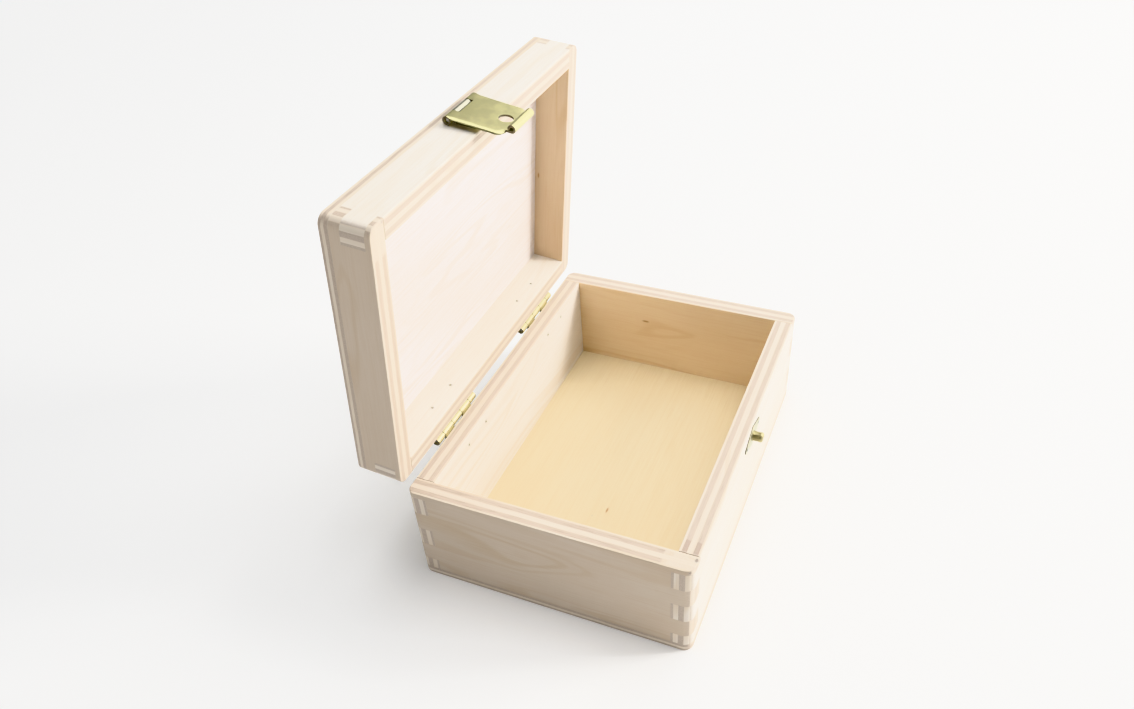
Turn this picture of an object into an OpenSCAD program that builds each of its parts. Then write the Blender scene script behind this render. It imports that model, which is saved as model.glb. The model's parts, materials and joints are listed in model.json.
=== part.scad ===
// Small plywood box with finger joints, a hinged lid, and a hasp that drops over a stud.
// Origin: centre of the underside. X runs along the hinge line, -Y is the front, +Z is up.
// The lid is drawn standing open against its stop.

/* [Box] */
// Length along the hinge line
box_l = 128.5; // [110:0.5:160]
// Depth from front to back
box_d = 92; // [80:0.5:120]
// Height of the base, from the table to its rim
base_h = 37.5; // [36:0.5:50]
// Height of the lid, from its rim to its top
lid_h = 15.1; // [15:0.1:20]
// Thickness of the five-ply walls
wall_t = 6.5; // [6:0.1:7]
// Thickness of the three-ply bottom and top panels
panel_t = 3; // [2.5:0.1:3.5]
// Radius of the four upright corners
corner_r = 3; // [1:0.1:4]

/* [Finger joints] */
// Height of one finger
finger_h = 7.1; // [6.5:0.1:7.5]
// Height of the sawn strip of an end panel's finger at each rim
strip_h = 1.7; // [1:0.1:2]
// Gap between the two rims when the lid is shut
rim_gap = 0.1; // [0.05:0.05:0.2]

/* [Lid hinges] */
// Angle at which the lid stands open
open_angle = 84; // [60:1:110]
// Length of each hinge along its pin
hinge_l = 25; // [22:0.5:28]
// Place of the left hinge along X
left_hinge_x = -30; // [-36:0.5:-24]
// Place of the right hinge along X
right_hinge_x = 33; // [24:0.5:36]
// Reach of a leaf from the pin's axis to its far edge
leaf_w = 7.6; // [7:0.1:8.5]
// Thickness of the sheet brass
sheet_t = 0.7; // [0.5:0.05:0.8]
// Outer diameter of the rolled knuckles
barrel_d = 2.8; // [2.6:0.1:2.9]
// Diameter of the hinge and hasp pins
pin_d = 1.3; // [1:0.1:1.4]
// Length of a hinge's outermost knuckles
end_knuckle_l = 4; // [3.5:0.1:5]
// Height of the hinge axis above the base's rim
axis_up = 0.6; // [0.5:0.05:0.8]

/* [Nails] */
// Distance between the two nails of a leaf
nail_pitch = 12; // [10:0.5:14]
// Distance of a leaf's nail row from the pin's axis
nail_row = 4.4; // [4:0.1:5]
// Shank diameter of the nails
nail_d = 1; // [0.8:0.05:1.1]
// Length of a hinge nail's tip that shows inside the box
nail_out = 0.4; // [0:0.1:0.8]

/* [Hasp] */
// Width of the flap
flap_w = 17.2; // [16:0.1:19]
// Length of the flap's full-width part, from the pin's axis
flap_l = 17.5; // [17.3:0.1:18]
// Distance from the pin's axis to the middle of the hole
hole_drop = 14.5; // [14.3:0.1:14.8]
// Diameter of the hole that the stud goes through
hole_d = 4.4; // [4.2:0.1:4.8]
// Height of the hasp's pin above the lid's rim
hasp_up = 9.6; // [9.4:0.1:10]
// Width of the mounting plate's centre knuckle
centre_knuckle_w = 8.2; // [7:0.1:9]
// Length of the rolled lip
lip_l = 12; // [10:0.5:13]
// Outer diameter of the rolled lip
lip_d = 2.6; // [2.2:0.1:2.8]
// Distance from the pin's axis to the middle of the lip
lip_drop = 19.1; // [18.9:0.1:19.5]

/* [Keeper] */
// Length of the lozenge plate between its tips
keeper_l = 18; // [16:0.5:20]
// Height of the lozenge plate at its middle
keeper_h = 8.4; // [8:0.1:9]
// Thickness of the lozenge plate
keeper_t = 0.5; // [0.4:0.05:0.55]
// Diameter of the stud
stud_d = 3.6; // [3:0.1:3.8]
// Reach of the stud in front of the plate
stud_l = 3.4; // [3:0.1:4.5]

/* [Hidden] */
$fn = 48;
eps = 0.5;                                  // reach of a cut past the face it opens
lap = 0.1;                                  // overlap of two shapes joined into one solid
loose = 0.1;                                // slack across a nail or shank in its hole
tight = 0.02;                               // radial clearance of a pin in the leaf that grips it
running = 0.05;                             // radial clearance of a pin in the leaf that turns

barrel_gap = 0.15;                          // gap between a barrel and the wood
axis_out = barrel_d / 2 + barrel_gap;       // distance of a barrel's axis from the wood
knuckle_gap = 0.15;                         // end play between neighbouring knuckles
knuckle_clear = 0.35;                       // gap between a plate's edge and the other leaf's knuckle
notch = barrel_d / 2 + knuckle_clear;       // distance of that edge from the axis
mid_knuckle_l = (hinge_l - 2 * end_knuckle_l) / 3;
last_knuckle = 4;
hinge_pin_recess = 0.5;                     // depth of the pin's ends inside the barrel
hasp_pin_recess = 0.4;

point_l = 0.8;                              // length of a nail's point
point_d = 0.2;                              // diameter at its tip
head_d = nail_d * 2.2;                      // low round head on a hinge leaf
head_rim_h = 0.3;
head_dome_h = 0.25;
flush_head_d = nail_d * 1.9;                // countersunk head under the flap
flush_head_h = 0.45;
pin_head_d = nail_d * 1.6;                  // small flat head on the keeper
pin_head_h = 0.2;
hinge_nail_l = sheet_t + wall_t + nail_out; // under the head
short_nail_l = 5.5;
keeper_nail_l = 4.7;
hasp_nail_pitch = 9;
hasp_nail_drop = 5.6;
keeper_nail_pitch = keeper_l - 3.8;

hinge_y = box_d / 2 + axis_out;
hinge_z = base_h + axis_up;
lid_z = base_h + rim_gap;                   // rim of the shut lid
hasp_y = -box_d / 2 - axis_out;
hasp_z = lid_z + hasp_up;
stud_z = hasp_z - hole_drop;

flap_rise = 0.95;                           // gap between the wood and the flap's lower end
flap_in = axis_out - flap_rise;             // inner face there, from the axis towards the wood
shoulder_r = 2.4;                           // round corners where the flap narrows to its lip
edge_drop = 0.6;                            // depth of the flap's turned-down side edges
edge_w = 0.6;
edge_end = 3;                               // the edges stop this far above the flap's shoulders
mount_side = 1.6;                           // gap between the mounting plate and those edges
mount_w = flap_w - 2 * (edge_w + mount_side);
mount_up = 1.4;                             // height of the mounting plate's lower edge above the rim
mount_reach = hasp_up - mount_up;           // its reach down from the axis

keeper_blunt = 2.2;                         // length of the point that each tip loses
shank_d = 2.2;                              // the stud's shank, through the keeper plate
shank_l = 2.2;                              // its reach into the wood
stud_round = 0.9;                           // radius at the stud's outer end

birch = "#E9DCC0";
brass = "#C6BE86";
steel = "#A9A488";

// Rows of the finger joint, counted away from a rim: [near edge, far edge, true on an end panel's row]
function finger_rows(reach) = [
    for (i = [-1 : ceil((reach - strip_h) / finger_h) - 1])
        let (near = i < 0 ? 0 : strip_h + i * finger_h)
        [near, min(reach, strip_h + (i + 1) * finger_h), i % 2 != 0]
];
base_rows = finger_rows(base_h - panel_t);
lid_rows = finger_rows(lid_h - panel_t);

// Start of a hinge's knuckle number i (0 to last_knuckle), and its length
function knuckle_start(i) = -hinge_l / 2 + (i == 0 ? 0 : end_knuckle_l + (i - 1) * mid_knuckle_l);
function is_end_knuckle(i) = i == 0 || i == last_knuckle;
function knuckle_length(i) = is_end_knuckle(i) ? end_knuckle_l : mid_knuckle_l;

// Swings the shut lid back to where it stands open
module on_open_lid() {
    translate([0, hinge_y, hinge_z])
        rotate([-open_angle, 0, 0])
            translate([0, -hinge_y, -hinge_z])
                children();
}

// Upright block with the box's rounded corners
module rounded_block(height) {
    linear_extrude(height) {
        square([box_l - 2 * corner_r, box_d], center = true);
        square([box_l, box_d - 2 * corner_r], center = true);
        for (x = [-1, 1], y = [-1, 1])
            translate([x * (box_l / 2 - corner_r), y * (box_d / 2 - corner_r)])
                circle(corner_r);
    }
}

// A corner post's place in each row that belongs to the other panel; rim at z = 0, rows going up
module corner_notches(rows, end_rows) {
    for (row = rows)
        if (row[2] == end_rows)
            for (x = [-1, 1], y = [-1, 1]) {
                below = row[0] == 0 ? eps : 0;
                translate([x * (box_l - wall_t + eps) / 2, y * (box_d - wall_t + eps) / 2, row[0] - below])
                    linear_extrude(row[1] - row[0] + below)
                        square([wall_t + eps, wall_t + eps], center = true);
            }
}

// Front (side = -1) or rear (side = 1) wall, rim at z = 0, going up
module long_wall(rows, height, side) {
    intersection() {
        rounded_block(height);
        difference() {
            translate([-box_l / 2, side < 0 ? -box_d / 2 : box_d / 2 - wall_t, 0])
                cube([box_l, wall_t, height]);
            corner_notches(rows, true);
        }
    }
}

// Left (side = -1) or right (side = 1) end, rim at z = 0, going up
module end_wall(rows, height, side) {
    intersection() {
        rounded_block(height);
        difference() {
            translate([side < 0 ? -box_l / 2 : box_l / 2 - wall_t, -box_d / 2, 0])
                cube([wall_t, box_d, height]);
            corner_notches(rows, false);
        }
    }
}

// Stands a wall that is drawn from its rim upwards on the base, rim uppermost
module as_base() {
    translate([0, 0, base_h])
        mirror([0, 0, 1])
            children();
}

// Stands it on the shut lid's rim
module as_lid() {
    translate([0, 0, lid_z])
        children();
}

// Children once at each of a pair of places along X
module pair(pitch) {
    for (x = [-1, 1])
        translate([x * pitch / 2, 0, 0])
            children();
}

// Round bar along X from x0, of length l
module bar(r, x0, l) {
    translate([x0, 0, 0])
        rotate([0, 90, 0])
            cylinder(r = r, h = l);
}

// Hole along Y, centred on the origin
module y_hole(d, l) {
    rotate([90, 0, 0])
        cylinder(d = d, h = l, center = true);
}

// Shank of length l along -Y from y = 0, with its point
module nail_shank(l) {
    rotate([90, 0, 0]) {
        cylinder(d = nail_d, h = l - point_l);
        translate([0, 0, l - point_l])
            cylinder(d1 = nail_d, d2 = point_d, h = point_l);
    }
}

// Nail driven along -Y, with a low round head on the face at y = 0
module round_nail(l) {
    nail_shank(l);
    rotate([-90, 0, 0]) {
        cylinder(d = head_d, h = head_rim_h);
        translate([0, 0, head_rim_h])
            cylinder(d1 = head_d, d2 = head_d * 0.55, h = head_dome_h);
    }
}

// Nail driven along -Y, with a countersunk head flush with y = 0
module flush_nail(l) {
    nail_shank(l);
    rotate([90, 0, 0])
        cylinder(d1 = flush_head_d, d2 = nail_d, h = flush_head_h);
}

module flush_nail_seat() {
    rotate([90, 0, 0]) {
        translate([0, 0, -eps])
            cylinder(d = flush_head_d + loose, h = eps);
        cylinder(d1 = flush_head_d + loose, d2 = nail_d + loose, h = flush_head_h);
        cylinder(d = nail_d + loose, h = sheet_t + eps);
    }
}

// Nail driven along -Y, with a small flat head on the face at y = 0
module flat_nail(l) {
    nail_shank(l);
    rotate([-90, 0, 0])
        cylinder(d = pin_head_d, h = pin_head_h);
}

// Leaf about a pin on the X axis: plate on the -Y side, reaching up
module hinge_leaf(knuckles, arm_end, bore_r) {
    difference() {
        union() {
            translate([-hinge_l / 2, -axis_out, notch])
                cube([hinge_l, sheet_t, leaf_w - notch]);
            for (i = knuckles) {
                x0 = knuckle_start(i) + (i == 0 ? 0 : knuckle_gap / 2);
                len = knuckle_length(i) - (is_end_knuckle(i) ? knuckle_gap / 2 : knuckle_gap);
                translate([x0, -axis_out, arm_end])
                    cube([len, sheet_t, notch + lap - arm_end]);
                bar(barrel_d / 2, x0, len);
            }
        }
        bar(bore_r, -hinge_l / 2 - eps, hinge_l + 2 * eps);
        pair(nail_pitch)
            translate([0, -axis_out + sheet_t / 2, nail_row])
                y_hole(nail_d + 2 * loose, sheet_t + 2 * eps);
    }
}

module base_leaf() {
    mirror([0, 0, 1])
        hinge_leaf([1, 3], axis_up, pin_d / 2 + running);
}

module lid_leaf() {
    hinge_leaf([0, 2, last_knuckle], rim_gap - axis_up, pin_d / 2 + tight);
}

module hinge_pin() {
    bar(pin_d / 2, -hinge_l / 2 + hinge_pin_recess, hinge_l - 2 * hinge_pin_recess);
}

// Two nails of a leaf; side = 1 on the lid, -1 on the base
module leaf_nails(side) {
    pair(nail_pitch)
        translate([0, -axis_out + sheet_t, side * nail_row])
            round_nail(hinge_nail_l);
}

module at_hinge(x) {
    translate([x, hinge_y, hinge_z])
        children();
}

// Places on the hinge line where both hinges' wood holes go; side as for leaf_nails
module hinge_nail_holes(side) {
    for (x = [left_hinge_x, right_hinge_x])
        at_hinge(x)
            pair(nail_pitch)
                translate([0, -axis_out - wall_t / 2, side * nail_row])
                    y_hole(nail_d + loose, wall_t + 2 * eps);
}

module at_hasp() {
    translate([0, hasp_y, hasp_z])
        children();
}

module at_keeper() {
    translate([0, -box_d / 2, stud_z])
        children();
}

// ---- base ----

module base_bottom_panel() {
    color(birch)
        rounded_block(panel_t);
}

module base_front_wall() {
    color(birch)
        difference() {
            as_base()
                long_wall(base_rows, base_h - panel_t, -1);
            at_keeper() {
                pair(keeper_nail_pitch)
                    y_hole(nail_d + loose, 2 * keeper_nail_l);
                y_hole(shank_d + 2 * loose, 2 * (shank_l + eps));
            }
        }
}

module base_rear_wall() {
    color(birch)
        difference() {
            as_base()
                long_wall(base_rows, base_h - panel_t, 1);
            hinge_nail_holes(-1);
        }
}

module base_left_end() {
    color(birch)
        as_base()
            end_wall(base_rows, base_h - panel_t, -1);
}

module base_right_end() {
    color(birch)
        as_base()
            end_wall(base_rows, base_h - panel_t, 1);
}

// ---- lid ----

module lid_top_panel() {
    color(birch)
        on_open_lid()
            as_lid()
                translate([0, 0, lid_h - panel_t])
                    rounded_block(panel_t);
}

module lid_front_wall() {
    color(birch)
        on_open_lid()
            difference() {
                as_lid()
                    long_wall(lid_rows, lid_h - panel_t, -1);
                at_hasp()
                    pair(hasp_nail_pitch)
                        translate([0, axis_out, -hasp_nail_drop])
                            y_hole(nail_d + loose, 2 * short_nail_l);
            }
}

module lid_rear_wall() {
    color(birch)
        on_open_lid()
            difference() {
                as_lid()
                    long_wall(lid_rows, lid_h - panel_t, 1);
                hinge_nail_holes(1);
            }
}

module lid_left_end() {
    color(birch)
        on_open_lid()
            as_lid()
                end_wall(lid_rows, lid_h - panel_t, -1);
}

module lid_right_end() {
    color(birch)
        on_open_lid()
            as_lid()
                end_wall(lid_rows, lid_h - panel_t, 1);
}

// ---- hinges ----

module left_hinge_base_leaf() {
    color(brass)
        at_hinge(left_hinge_x)
            base_leaf();
}

module left_hinge_lid_leaf() {
    color(brass)
        on_open_lid()
            at_hinge(left_hinge_x)
                lid_leaf();
}

module left_hinge_pin() {
    color(steel)
        at_hinge(left_hinge_x)
            hinge_pin();
}

module left_hinge_base_nails() {
    color(brass)
        at_hinge(left_hinge_x)
            leaf_nails(-1);
}

module left_hinge_lid_nails() {
    color(brass)
        on_open_lid()
            at_hinge(left_hinge_x)
                leaf_nails(1);
}

module right_hinge_base_leaf() {
    color(brass)
        at_hinge(right_hinge_x)
            base_leaf();
}

module right_hinge_lid_leaf() {
    color(brass)
        on_open_lid()
            at_hinge(right_hinge_x)
                lid_leaf();
}

module right_hinge_pin() {
    color(steel)
        at_hinge(right_hinge_x)
            hinge_pin();
}

module right_hinge_base_nails() {
    color(brass)
        at_hinge(right_hinge_x)
            leaf_nails(-1);
}

module right_hinge_lid_nails() {
    color(brass)
        on_open_lid()
            at_hinge(right_hinge_x)
                leaf_nails(1);
}

// ---- hasp: pin on the X axis, wood on the +Y side, flap hanging down ----

module mounting_plate_shape() {
    knuckle_w = centre_knuckle_w - knuckle_gap;
    difference() {
        union() {
            translate([-mount_w / 2, axis_out - sheet_t, -mount_reach])
                cube([mount_w, sheet_t, mount_reach - notch]);
            translate([-knuckle_w / 2, axis_out - sheet_t, -notch - lap])
                cube([knuckle_w, sheet_t, notch + lap]);
            bar(barrel_d / 2, -knuckle_w / 2, knuckle_w);
        }
        bar(pin_d / 2 + tight, -flap_w / 2, flap_w);
        pair(hasp_nail_pitch)
            translate([0, axis_out - sheet_t, -hasp_nail_drop])
                mirror([0, 1, 0])
                    flush_nail_seat();
    }
}

// Outline of the flap in X and Z: full width, round shoulders, then the neck of the lip
module flap_outline() {
    translate([-flap_w / 2, -flap_l + shoulder_r])
        square([flap_w, flap_l - shoulder_r]);
    translate([-flap_w / 2 + shoulder_r, -flap_l])
        square([flap_w - 2 * shoulder_r, shoulder_r + lap]);
    for (x = [-1, 1])
        translate([x * (flap_w / 2 - shoulder_r), -flap_l + shoulder_r])
            circle(shoulder_r);
    translate([-lip_l / 2, -lip_drop])
        square([lip_l, lip_drop - flap_l + lap]);
}

// Sloping slab between two places on X: from the barrel's outermost line down to the lip's inner side
module flap_slab(x, width, depth) {
    top_y = -barrel_d / 2;
    low_y = flap_in - sheet_t;
    translate([x, 0, 0])
        rotate([90, 0, 90])
            linear_extrude(width)
                polygon([
                    [top_y, 0], [top_y + depth, 0],
                    [low_y + depth, -lip_drop], [low_y, -lip_drop]
                ]);
}

module flap_shape() {
    outer_knuckle_w = (flap_w - centre_knuckle_w - knuckle_gap) / 2;
    lip_y = flap_in - lip_d / 2;
    difference() {
        union() {
            intersection() {
                flap_slab(-flap_w / 2, flap_w, sheet_t);
                translate([0, barrel_d, 0])
                    rotate([90, 0, 0])
                        linear_extrude(2 * barrel_d)
                            flap_outline();
            }
            bar(barrel_d / 2, -flap_w / 2, outer_knuckle_w);
            bar(barrel_d / 2, flap_w / 2 - outer_knuckle_w, outer_knuckle_w);
            for (x = [-1, 1])
                intersection() {
                    flap_slab(x * (flap_w - edge_w) / 2 - edge_w / 2, edge_w, sheet_t + edge_drop);
                    translate([-flap_w, -barrel_d, -flap_l + edge_end])
                        cube([2 * flap_w, 2 * barrel_d, flap_l - edge_end - notch]);
                }
            translate([0, lip_y, -lip_drop])
                bar(lip_d / 2, -lip_l / 2, lip_l);
        }
        bar(pin_d / 2 + running, -flap_w / 2 - eps, flap_w + 2 * eps);
        translate([-(centre_knuckle_w + knuckle_gap) / 2, -barrel_d, -notch])
            cube([centre_knuckle_w + knuckle_gap, 2 * barrel_d, notch + barrel_d]);
        translate([0, 0, -hole_drop])
            y_hole(hole_d, 2 * barrel_d);
        translate([0, lip_y, -lip_drop])
            bar(lip_d / 2 - sheet_t, -lip_l / 2 - eps, lip_l + 2 * eps);
    }
}

module hasp_mounting_plate() {
    color(brass)
        on_open_lid()
            at_hasp()
                mounting_plate_shape();
}

module hasp_flap() {
    color(brass)
        on_open_lid()
            at_hasp()
                flap_shape();
}

module hasp_pin() {
    color(steel)
        on_open_lid()
            at_hasp()
                bar(pin_d / 2, -flap_w / 2 + hasp_pin_recess, flap_w - 2 * hasp_pin_recess);
}

module hasp_nails() {
    color(brass)
        on_open_lid()
            at_hasp()
                pair(hasp_nail_pitch)
                    translate([0, axis_out - sheet_t, -hasp_nail_drop])
                        mirror([0, 1, 0])
                            flush_nail(short_nail_l);
}

// ---- keeper ----

module keeper_outline() {
    point_x = keeper_l / 2 + keeper_blunt;
    intersection() {
        polygon([[-point_x, 0], [0, keeper_h / 2], [point_x, 0], [0, -keeper_h / 2]]);
        circle(d = keeper_l);
    }
}

module keeper_plate() {
    color(brass)
        at_keeper()
            difference() {
                rotate([90, 0, 0])
                    linear_extrude(keeper_t)
                        keeper_outline();
                y_hole(shank_d + loose, 2 * (keeper_t + eps));
                pair(keeper_nail_pitch)
                    y_hole(nail_d + loose, 2 * (keeper_t + eps));
            }
}

// Stud with a rounded end in front of the plate, about the Z axis
module stud_body() {
    rotate_extrude()
        intersection() {
            union() {
                square([stud_d / 2, stud_l - stud_round]);
                square([stud_d / 2 - stud_round, stud_l]);
                translate([stud_d / 2 - stud_round, stud_l - stud_round])
                    circle(stud_round);
            }
            square([stud_d, stud_l]);
        }
}

module keeper_stud() {
    color(steel)
        at_keeper()
            rotate([90, 0, 0]) {
                translate([0, 0, -shank_l])
                    cylinder(d = shank_d, h = shank_l + keeper_t + lap);
                translate([0, 0, keeper_t])
                    stud_body();
            }
}

module keeper_nails() {
    color(steel)
        at_keeper()
            pair(keeper_nail_pitch)
                translate([0, -keeper_t, 0])
                    mirror([0, 1, 0])
                        flat_nail(keeper_nail_l);
}

base_bottom_panel();
base_front_wall();
base_rear_wall();
base_left_end();
base_right_end();
lid_top_panel();
lid_front_wall();
lid_rear_wall();
lid_left_end();
lid_right_end();
left_hinge_base_leaf();
left_hinge_lid_leaf();
left_hinge_pin();
left_hinge_base_nails();
left_hinge_lid_nails();
right_hinge_base_leaf();
right_hinge_lid_leaf();
right_hinge_pin();
right_hinge_base_nails();
right_hinge_lid_nails();
hasp_mounting_plate();
hasp_flap();
hasp_pin();
hasp_nails();
keeper_plate();
keeper_stud();
keeper_nails();
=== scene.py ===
"""Open finger-jointed birch plywood box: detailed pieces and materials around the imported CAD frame.

Pieces are built in metres in the shut box's own frame. Pieces of the lid and the flap then turn about the
lid's hinge to where the open lid stands, so their object coordinates stay square to the plies.
"""
import json
import math

import bmesh
import bpy
from mathutils import Matrix, Vector


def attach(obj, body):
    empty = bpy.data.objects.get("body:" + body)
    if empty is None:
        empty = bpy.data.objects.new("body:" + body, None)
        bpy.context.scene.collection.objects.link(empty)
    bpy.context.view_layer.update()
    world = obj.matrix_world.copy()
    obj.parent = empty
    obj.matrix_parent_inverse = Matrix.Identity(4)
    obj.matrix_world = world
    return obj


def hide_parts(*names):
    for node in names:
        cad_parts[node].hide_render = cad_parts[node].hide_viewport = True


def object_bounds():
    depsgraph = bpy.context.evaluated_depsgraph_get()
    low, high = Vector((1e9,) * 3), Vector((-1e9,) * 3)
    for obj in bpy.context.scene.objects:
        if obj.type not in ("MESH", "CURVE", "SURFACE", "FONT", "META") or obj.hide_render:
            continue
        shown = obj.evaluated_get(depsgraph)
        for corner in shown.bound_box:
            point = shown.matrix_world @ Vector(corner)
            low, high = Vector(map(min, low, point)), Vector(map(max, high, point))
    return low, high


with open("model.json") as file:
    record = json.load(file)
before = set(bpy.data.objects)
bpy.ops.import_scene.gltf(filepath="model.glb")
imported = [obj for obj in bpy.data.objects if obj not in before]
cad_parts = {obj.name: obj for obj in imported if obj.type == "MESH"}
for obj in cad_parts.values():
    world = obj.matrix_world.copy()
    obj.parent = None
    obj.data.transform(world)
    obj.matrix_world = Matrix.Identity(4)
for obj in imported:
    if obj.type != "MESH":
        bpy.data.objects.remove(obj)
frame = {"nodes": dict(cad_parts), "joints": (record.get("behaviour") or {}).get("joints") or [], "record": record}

CAD_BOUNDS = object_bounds()
MM = 0.001
TINY = 1e-5

# ---- frame: what the CAD says ----

BEHAVIOUR = frame["record"]["behaviour"]
JOINTS = {joint["name"]: joint for joint in frame["joints"]}
BODY_OF = {node: body for body, nodes in BEHAVIOUR["bodies"].items() for node in nodes}
HINGE = Vector(JOINTS["lid_hinge"]["pos_m"])
OPEN_ANGLE = math.radians(JOINTS["lid_hinge"]["range_deg"][1])
TO_OPEN = (
    Matrix.Translation(HINGE)
    @ Matrix.Rotation(-OPEN_ANGLE, 4, "X")
    @ Matrix.Translation(-HINGE)
)
HASP = TO_OPEN.inverted() @ Vector(JOINTS["hasp_hinge"]["pos_m"])


def home(body):
    """Where the pieces of a body stand at rest, from the shut box's frame."""
    return Matrix.Identity(4) if body == "base" else TO_OPEN


def shut_points(node):
    """A CAD node's points with the box shut."""
    back = home(BODY_OF[node]).inverted()
    return [back @ v.co for v in frame["nodes"][node].data.vertices]


def shut_box(*nodes):
    """(lowest corner, highest corner) of some CAD nodes with the box shut."""
    points = [p for node in nodes for p in shut_points(node)]
    low = Vector([min(p[k] for p in points) for k in range(3)])
    high = Vector([max(p[k] for p in points) for k in range(3)])
    return low, high


def shut_levels(node, k):
    """The different heights (or widths) at which a CAD node has corners, lowest first."""
    levels = []
    for value in sorted(p[k] for p in shut_points(node)):
        if not levels or value - levels[-1] > TINY:
            levels.append(value)
    return levels


def is_end_wall(node):
    low, high = shut_box(node)
    return high.x - low.x < high.y - low.y


BASE_LOW, BASE_HIGH = shut_box("base_left_end", "base_right_end", "base_bottom_panel")
LID_LOW, LID_HIGH = shut_box("lid_left_end", "lid_right_end", "lid_top_panel")
HALF_X, HALF_Y = BASE_HIGH.x, BASE_HIGH.y
WALL = shut_box("base_left_end")[1].x + HALF_X
CORNER_R = HALF_X - max(p.x for p in shut_points("base_bottom_panel") if p.y > HALF_Y - TINY)

# ---- mesh helpers ----


def new_piece(name, bm, material, node):
    """Makes a piece from a bmesh, stands it for its CAD node, and lets it ride on that node's body."""
    mesh = bpy.data.meshes.new(name)
    bmesh.ops.recalc_face_normals(bm, faces=bm.faces)
    bm.to_mesh(mesh)
    bm.free()
    mesh.materials.append(material)
    piece = bpy.data.objects.new(name, mesh)
    bpy.context.scene.collection.objects.link(piece)
    body = BODY_OF[node]
    piece.matrix_world = home(body)
    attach(piece, body)
    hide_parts(node)
    return piece


def smooth(piece):
    for polygon in piece.data.polygons:
        polygon.use_smooth = True


def add_bevel(piece, width, segments=2, by_weight=False):
    smooth(piece)
    bevel = piece.modifiers.new("Eased edges", "BEVEL")
    bevel.width = width
    bevel.segments = segments
    bevel.limit_method = "WEIGHT" if by_weight else "ANGLE"
    bevel.angle_limit = math.radians(35)
    bevel.harden_normals = True
    bevel.miter_outer = "MITER_ARC"
    return bevel


# ---- wood panels ----

EASED_OUTER = 0.45 * MM       # hand-sanded outer edges of the box
EASED_RIM = 0.18 * MM         # inner edges of the rims
EASED_JOINT = 0.05 * MM       # edges that meet in a joint
ROUND_SEGMENTS = 8


def prism(outline, place, inner, outer):
    """Solid between two depths of an outline; place(u, v, depth) gives a point."""
    bm = bmesh.new()
    rings = [[bm.verts.new(place(u, v, depth)) for u, v in outline] for depth in (inner, outer)]
    bm.faces.new(rings[0])
    bm.faces.new(reversed(rings[1]))
    count = len(outline)
    for i in range(count):
        j = (i + 1) % count
        bm.faces.new((rings[0][i], rings[0][j], rings[1][j], rings[1][i]))
    bmesh.ops.recalc_face_normals(bm, faces=bm.faces)
    return bm


def round_uprights(bm):
    """Rounds the box's four upright corners wherever this panel reaches one."""
    edges = []
    for edge in bm.edges:
        a, b = (v.co for v in edge.verts)
        upright = abs(a.x - b.x) < TINY and abs(a.y - b.y) < TINY
        if upright and abs(a.x) > HALF_X - TINY and abs(a.y) > HALF_Y - TINY:
            edges.append(edge)
    bmesh.ops.bevel(
        bm, geom=edges, offset=CORNER_R, offset_type="OFFSET", segments=ROUND_SEGMENTS,
        profile=0.5, affect="EDGES", clamp_overlap=False,
    )


def on_outside(p):
    """True on the box's outer skin, seen from above."""
    if abs(p.x) > HALF_X - TINY or abs(p.y) > HALF_Y - TINY:
        return True
    dx, dy = abs(p.x) - (HALF_X - CORNER_R), abs(p.y) - (HALF_Y - CORNER_R)
    return dx > 0 and dy > 0 and abs(math.hypot(dx, dy) - CORNER_R) < 20 * TINY


def weigh_edges(bm, rim_z, far_z):
    """Gives each sharp edge the share of the largest easing that it gets."""
    layer = bm.edges.layers.float.new("bevel_weight_edge")
    for edge in bm.edges:
        if len(edge.link_faces) != 2 or edge.calc_face_angle() < math.radians(25):
            continue
        a, b = (v.co for v in edge.verts)
        level = abs(a.z - b.z) < TINY
        at_rim = rim_z is not None and level and abs(a.z - rim_z) < TINY
        at_far = level and abs(a.z - far_z) < TINY
        outside = on_outside(a) and on_outside(b)
        if (at_rim or at_far) and outside:
            width = EASED_OUTER
        elif at_rim:
            width = EASED_RIM
        else:
            width = EASED_JOINT
        edge[layer] = width / EASED_OUTER


def finger_outline(levels, own_first, half, inset):
    """Outline of a wall in its own plane.

    levels run from the rim; own_first says whose finger is at the rim.
    """
    right = []
    for i in range(len(levels) - 1):
        own = (i % 2 == 0) == own_first
        u = half if own else half - inset
        right += [(u, levels[i]), (u, levels[i + 1])]
    return right + [(-u, v) for u, v in reversed(right)]


def wall_piece(node, material):
    """A front, rear or end wall with its fingers."""
    low, high = shut_box(node)
    is_end = is_end_wall(node)
    is_lid = node.startswith("lid")
    levels = shut_levels("lid_left_end" if is_lid else "base_left_end", 2)
    if not is_lid:
        levels.reverse()
    if is_end:
        outer, inner = (low.x, high.x) if low.x < 0 else (high.x, low.x)
        outline = finger_outline(levels, True, HALF_Y, WALL)
        bm = prism(outline, lambda u, v, d: (d, u, v), inner, outer)
    else:
        outer, inner = (low.y, high.y) if low.y < 0 else (high.y, low.y)
        outline = finger_outline(levels, False, HALF_X, WALL)
        bm = prism(outline, lambda u, v, d: (u, d, v), inner, outer)
    round_uprights(bm)
    rim = LID_LOW.z if is_lid else BASE_HIGH.z
    far = LID_HIGH.z if is_lid else BASE_LOW.z
    weigh_edges(bm, rim, far)
    piece = new_piece(node + "_wood", bm, material, node)
    add_bevel(piece, EASED_OUTER, 3, by_weight=True)
    return piece


def sheet_piece(node, material):
    """The bottom or top panel."""
    low, high = shut_box(node)
    corners = [(-HALF_X, -HALF_Y), (HALF_X, -HALF_Y), (HALF_X, HALF_Y), (-HALF_X, HALF_Y)]
    bm = prism(corners, lambda u, v, d: (u, v, d), low.z, high.z)
    round_uprights(bm)
    far = LID_HIGH.z if node.startswith("lid") else BASE_LOW.z
    weigh_edges(bm, None, far)
    piece = new_piece(node + "_wood", bm, material, node)
    add_bevel(piece, EASED_OUTER, 3, by_weight=True)
    return piece


# ---- shader helpers ----


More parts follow.
